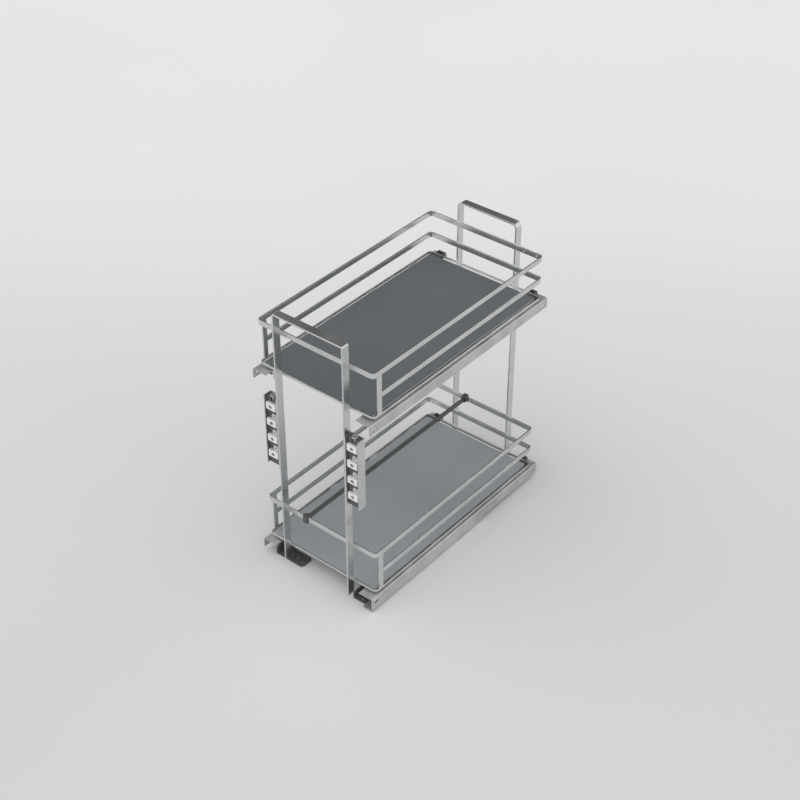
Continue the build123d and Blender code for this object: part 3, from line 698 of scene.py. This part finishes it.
# %% Rivets of the floor brackets
RIVET_RADIUS, RIVET_BEVEL, RIVET_RECESS, RIVET_RECESS_DEPTH = 2 * MM, 0.25 * MM, 1 * MM, 0.5 * MM
low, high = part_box("bracket_rivets")
rivets = grow("bracket_rivets", turned_parts, {
    "Count": 2, "First": (low[X] + RIVET_RADIUS, low[Y] + RIVET_RADIUS, high[Z]),
    "Step": (0.0, high[Y] - low[Y] - 2 * RIVET_RADIUS, 0.0), "Rows": 2,
    "Row step": (high[X] - low[X] - 2 * RIVET_RADIUS, 0.0, 0.0), "Turn": FACE_UP,
    "Radius": RIVET_RADIUS, "Length": high[Z] - low[Z], "Bevel": RIVET_BEVEL,
    "Recess radius": RIVET_RECESS, "Recess depth": RIVET_RECESS_DEPTH,
    "Finish": finish_of["bracket_rivets"]})
stand_for("bracket_rivets", rivets, "turned")

# %% [markdown]
# ## Roller cages
#
# Each runner has two cages: thin strips that keep small rollers apart between the sliding
# members. The construction model draws the rollers with flats. Here the cage's sheet is kept from
# a copy of the node, its rollers are taken out, and true round ones from the tree go in.

# %% Find the rollers in a cage
COPY_MERGE = 0.002 * MM


def extent(shell, axis):
    """Lowest and highest place of a shell along one axis."""
    places = [vertex.co[axis] for face in shell for vertex in face.verts]
    return min(places), max(places)


def loose_shells(work):
    """Groups of faces that hang together, the longest from front to back first."""
    left, shells = set(work.faces), []
    while left:
        shell, edge_of_shell = set(), [left.pop()]
        while edge_of_shell:
            face = edge_of_shell.pop()
            shell.add(face)
            near = {other for edge in face.edges for other in edge.link_faces} & left
            left -= near
            edge_of_shell.extend(near)
        shells.append(shell)
    return sorted(shells, key=lambda shell: extent(shell, Y)[0] - extent(shell, Y)[1])


def rollers_of(shells):
    """The lowest place of a roller's middle, and the steps between rollers along Y and Z."""
    middles = [[sum(extent(shell, axis)) / 2 for axis in (X, Y, Z)] for shell in shells[1:]]
    lows = [min(place[axis] for place in middles) for axis in (X, Y, Z)]
    highs = [max(place[axis] for place in middles) for axis in (X, Y, Z)]
    return lows, (0.0, highs[Y] - lows[Y], 0.0), (0.0, 0.0, highs[Z] - lows[Z])


# %% Round rollers in the cages
ROLLER_RADIUS, ROLLER_LENGTH, ROLLER_BEVEL = 1.5 * MM, 3.6 * MM, 0.25 * MM
for node in [name for name in frame["nodes"] if name.startswith("roller_cage")]:
    work = bmesh.new()
    work.from_mesh(frame["nodes"][node].data)
    bmesh.ops.remove_doubles(work, verts=work.verts, dist=COPY_MERGE)
    shells = loose_shells(work)
    first, step, row_step = rollers_of(shells)
    bmesh.ops.delete(work, geom=[face for shell in shells[1:] for face in shell], context="FACES")
    rollers = grow(node, turned_parts, {
        "Count": 2, "First": (first[X] + ROLLER_LENGTH / 2, first[Y], first[Z]), "Step": step, "Rows": 2,
        "Row step": row_step, "Turn": FACE_RIGHT, "Radius": ROLLER_RADIUS, "Length": ROLLER_LENGTH,
        "Bevel": ROLLER_BEVEL, "Finish": finish_of[node]})
    work.from_mesh(rollers)
    work.to_mesh(rollers)
    work.free()
    stand_for(node, rollers, "turned")
    print(len(shells) - 1, "rollers")

# %% [markdown]
# ## Eased edges
#
# No sheet or moulding has a knife edge. Sheet is deburred and mouldings have small radii, which
# catch the light as thin bright lines. A copy of each other node that shows is merged into one
# closed mesh, its flat faces are joined up, and its sharp edges are bevelled in two steps.
# Weighted normals then keep the broad faces flat.

# %% How edges are eased
BEVEL_STEPS = 2
FLAT_BELOW, SHARP_ABOVE = math.radians(1.5), math.radians(40)


def eased(node, mesh, radius):
    """A closed piece of this mesh with rounded edges, which stands for the node."""
    work = bmesh.new()
    work.from_mesh(mesh)
    bmesh.ops.remove_doubles(work, verts=work.verts, dist=COPY_MERGE)
    bmesh.ops.dissolve_limit(work, angle_limit=FLAT_BELOW, verts=work.verts, edges=work.edges)
    sharp = [edge for edge in work.edges if edge.is_manifold and edge.calc_face_angle() > SHARP_ABOVE]
    bmesh.ops.bevel(work, geom=sharp, offset=radius, offset_type="OFFSET", segments=BEVEL_STEPS,
                    profile=0.5, affect="EDGES", clamp_overlap=True)
    work.to_mesh(mesh)
    work.free()
    stand_for(node, mesh, "eased")


# %% Ease the edges of bars, sheets and mouldings
BAR_EDGE, PAINTED_EDGE, MOULDED_EDGE = 0.4 * MM, 0.35 * MM, 0.3 * MM
SHEET_EDGE, FINE_EDGE = 0.25 * MM, 0.2 * MM
edge_radius = {"corner_posts": BAR_EDGE, "cross_bars": BAR_EDGE, "leg_tab": BAR_EDGE,
               "divider_bar": BAR_EDGE, "divider_caps": BAR_EDGE, "rear_clips": BAR_EDGE,
               "floor_bracket_left": PAINTED_EDGE, "floor_bracket_right": PAINTED_EDGE}
for tier in TIERS:
    edge_radius.update({f"tray_panel_{tier}": FINE_EDGE, f"mat_{tier}": FINE_EDGE,
                        f"hangers_{tier}": SHEET_EDGE})
    for hand in HANDS:
        edge_radius.update({f"rail_{tier}_{hand}": SHEET_EDGE, f"cabinet_member_{tier}_{hand}": FINE_EDGE,
                            f"drawer_member_{tier}_{hand}": FINE_EDGE,
                            f"middle_member_{tier}_{hand}": FINE_EDGE})
for hand in HANDS:
    edge_radius.update({f"door_bracket_{hand}": SHEET_EDGE, f"bracket_body_{hand}": MOULDED_EDGE,
                        f"clamp_blocks_{hand}": MOULDED_EDGE})
for node, radius in edge_radius.items():
    eased(node, frame["nodes"][node].data.copy(), radius)

# %% [markdown]
# ## Height screws
#
# The screw on top of each adjuster has a thin round head with a sunk face, so its rim shows as a
# ring, and a hexagon socket in the middle. A turned shape is a stack of rings of points. Each
# ring is set out from its radius and height, the socket's rings are pressed into a hexagon, and
# each ring is joined to the next one by a band of faces.

# %% Turn the height screws
SHAFT_RADIUS, HEAD_THICKNESS, HEAD_RIM, FACE_SINK = 2.5 * MM, 2 * MM, 1.7 * MM, 1.1 * MM
SOCKET_CORNER, SOCKET_DEPTH = 2.3 * MM, 2.4 * MM
# A multiple of six, so that a point falls on each corner of the hexagon
RING_POINTS = 48


def ring_of_points(middle, radius, height, six_sided):
    """Points of one ring, pressed into a hexagon where it is a socket's."""
    points = []
    for i in range(RING_POINTS):
        angle = 2 * math.pi * i / RING_POINTS
        reach = radius
        if six_sided:
            reach *= math.cos(math.pi / 6) / math.cos(angle % (math.pi / 3) - math.pi / 6)
        points.append((middle[X] + reach * math.cos(angle), middle[Y] + reach * math.sin(angle), height))
    return points


def height_screw(node):
    """Mesh of a shaft with a round head, its sunk face and its socket, in the node's box."""
    low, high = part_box(node)
    middle, head = [(a + b) / 2 for a, b in zip(low, high)][:Z], (high[X] - low[X]) / 2
    under_head, sunk = high[Z] - HEAD_THICKNESS, high[Z] - FACE_SINK
    rings = [(SHAFT_RADIUS, low[Z], False), (SHAFT_RADIUS, under_head, False), (head, under_head, False),
             (head, high[Z], False), (head - HEAD_RIM, high[Z], False), (head - HEAD_RIM, sunk, False),
             (SOCKET_CORNER, sunk, True), (SOCKET_CORNER, sunk - SOCKET_DEPTH, True)]
    work = bmesh.new()
    loops = [[work.verts.new(point) for point in ring_of_points(middle, *ring)] for ring in rings]
    for lower, upper in zip(loops, loops[1:]):
        for i in range(RING_POINTS):
            after = (i + 1) % RING_POINTS
            work.faces.new((lower[i], lower[after], upper[after], upper[i]))
    work.faces.new(list(reversed(loops[0])))
    work.faces.new(loops[-1])
    bmesh.ops.recalc_face_normals(work, faces=work.faces)
    mesh = bpy.data.meshes.new(node)
    work.to_mesh(mesh)
    work.free()
    return mesh


for hand in HANDS:
    node = f"height_screw_{hand}"
    eased(node, height_screw(node), FINE_EDGE)
stood_for = {node for piece in bpy.data.objects for node in piece.get("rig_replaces", [])}
print("nodes that keep their own mesh", sorted(set(frame["nodes"]) - stood_for))

# %% [markdown]
# ## Studio
#
# The rack stands on a wide pale floor whose colour is painted lighter towards the back and darker
# towards the front, as painted light for the way light falls across a studio sweep.
# The light comes from all around, so the rack casts only a faint shadow. Metal shows what it
# mirrors: the upright faces mirror the floor and look light, while the faces that look up mirror
# the wall behind, so that wall is dark. One wide soft lamp high on the left adds a little shape.

# %% Floor
CAMERA_AZIMUTH = math.radians(39.354)
FLOOR_SIZE, FLOOR_PATCH = 60.0, 0.9
# The floor lies this far under the rack, so that no two faces lie in one plane
FLOOR_DROP = 0.2 * MM
# Distance from the rack towards the back, in metres, and the floor's painted tone there: painted
# light, darker towards the front and lighter towards the back
FLOOR_PAINTED_LIGHT_TONES = ((-0.6, 0.725), (-0.15, 0.74), (0.1, 0.75), (0.4, 0.76), (0.7, 0.785), (1.05, 0.84),
               (1.5, 0.87), (2.6, 0.88))
FLOOR_TINT = (0.995, 1.0, 1.005)


def painted_light_floor_finish():
    """Matt floor, painted lighter towards the back as painted light, with a faint unevenness."""
    finish, tree, shader = start_finish("studio_floor", Roughness=0.9)
    place = add(tree, "ShaderNodeTexCoord").outputs["Object"]
    turned = add(tree, "ShaderNodeMapping", {"Vector": place, "Rotation": (0, 0, -CAMERA_AZIMUTH)})
    axes = add(tree, "ShaderNodeSeparateXYZ", {"Vector": turned.outputs["Vector"]})
    start, end = FLOOR_PAINTED_LIGHT_TONES[0][0], FLOOR_PAINTED_LIGHT_TONES[-1][0]
    # Painted light: the floor's colour grows lighter with distance towards the back
    ramp = add(tree, "ShaderNodeValToRGB", {"Fac": between(tree, axes.outputs["Y"], 0, 1, start, end)})
    while len(ramp.color_ramp.elements) < len(FLOOR_PAINTED_LIGHT_TONES):
        ramp.color_ramp.elements.new(0.5)
    for stop, (distance, tone) in zip(ramp.color_ramp.elements, FLOOR_PAINTED_LIGHT_TONES):
        stop.position = (distance - start) / (end - start)
        stop.color = (*(tone * share for share in FLOOR_TINT), 1)
    unevenness = noise(tree, place, FLOOR_PATCH, detail=1.0)
    tree.links.new(shaded_by(tree, ramp.outputs["Color"], unevenness, 0.98, 0.35, 0.65),
                   shader.inputs["Base Color"])
    return finish


floor_mesh = bpy.data.meshes.new("studio_floor")
floor_corners = [(x * FLOOR_SIZE / 2, y * FLOOR_SIZE / 2, 0) for x, y in ((-1, -1), (1, -1), (1, 1), (-1, 1))]
floor_mesh.from_pydata(floor_corners, [], [(0, 1, 2, 3)])
floor_mesh.materials.append(painted_light_floor_finish())
floor = bpy.data.objects.new("studio_floor", floor_mesh)
bpy.context.scene.collection.objects.link(floor)
floor.location.z = -FLOOR_DROP
print("floor", floor.name)

# %% Room: light all around, with one dark wall
WALL_DIRECTION = (-0.509, 0.620, 0.597)
WALL_EDGE, WALL_FULL = math.cos(math.radians(52)), math.cos(math.radians(28))
ROOM_LIGHT, WALL_LIGHT = (1.0, 1.003, 1.003, 1), (0.14, 0.141, 0.141, 1)
world = bpy.data.worlds.new("soft_room")
bpy.context.scene.world = world
world.use_nodes = True
room = world.node_tree
look = add(room, "ShaderNodeTexCoord").outputs["Generated"]
facing = add(room, "ShaderNodeVectorMath", operation="DOT_PRODUCT")
fill(room, facing.inputs, (look, WALL_DIRECTION))
wall = between(room, facing.outputs["Value"], 0, 1, WALL_EDGE, WALL_FULL)
tone = add(room, "ShaderNodeMix", {"Factor": wall}, data_type="RGBA")
tone.inputs["A"].default_value, tone.inputs["B"].default_value = ROOM_LIGHT, WALL_LIGHT
room.links.new(tone.outputs["Result"], room.nodes["Background"].inputs["Color"])
room.nodes["Background"].inputs["Strength"].default_value = 1.0
print("room", world.name)

# %% Soft lamp high on the left
LAMP_DIRECTION = Vector((-0.41, -0.21, 0.88))
LAMP_ENERGY, LAMP_SPREAD = 0.5, math.radians(76)
lamp = bpy.data.lights.new("soft_lamp", "SUN")
lamp.energy, lamp.angle = LAMP_ENERGY, LAMP_SPREAD
soft_lamp = bpy.data.objects.new("soft_lamp", lamp)
soft_lamp.rotation_euler = LAMP_DIRECTION.to_track_quat("Z", "Y").to_euler()
bpy.context.scene.collection.objects.link(soft_lamp)
print("lamp", soft_lamp.name)

# %% [markdown]
# ## Camera
#
# The camera was found by fitting the long straight edges of both baskets: their vanishing points
# give the lens and the angles, and the distance follows from the rack's width.

# %% Camera
LENS, SENSOR, DISTANCE = 72.4, 36.0, 2.9586
ELEVATION, AIM = math.radians(36.642), Vector((-0.00967, 0.0, 0.26506))
away = Vector((math.sin(CAMERA_AZIMUTH) * math.cos(ELEVATION),
               -math.cos(CAMERA_AZIMUTH) * math.cos(ELEVATION), math.sin(ELEVATION)))
camera = bpy.data.objects.new("camera", bpy.data.cameras.new("camera"))
camera.data.lens, camera.data.sensor_width = LENS, SENSOR
camera.location = AIM + away * DISTANCE
camera.rotation_euler = (-away).to_track_quat("-Z", "Y").to_euler()
bpy.context.scene.collection.objects.link(camera)
bpy.context.scene.camera = camera
bpy.context.scene.view_settings.view_transform = "Standard"
print("camera at", [round(v, 3) for v in camera.location])
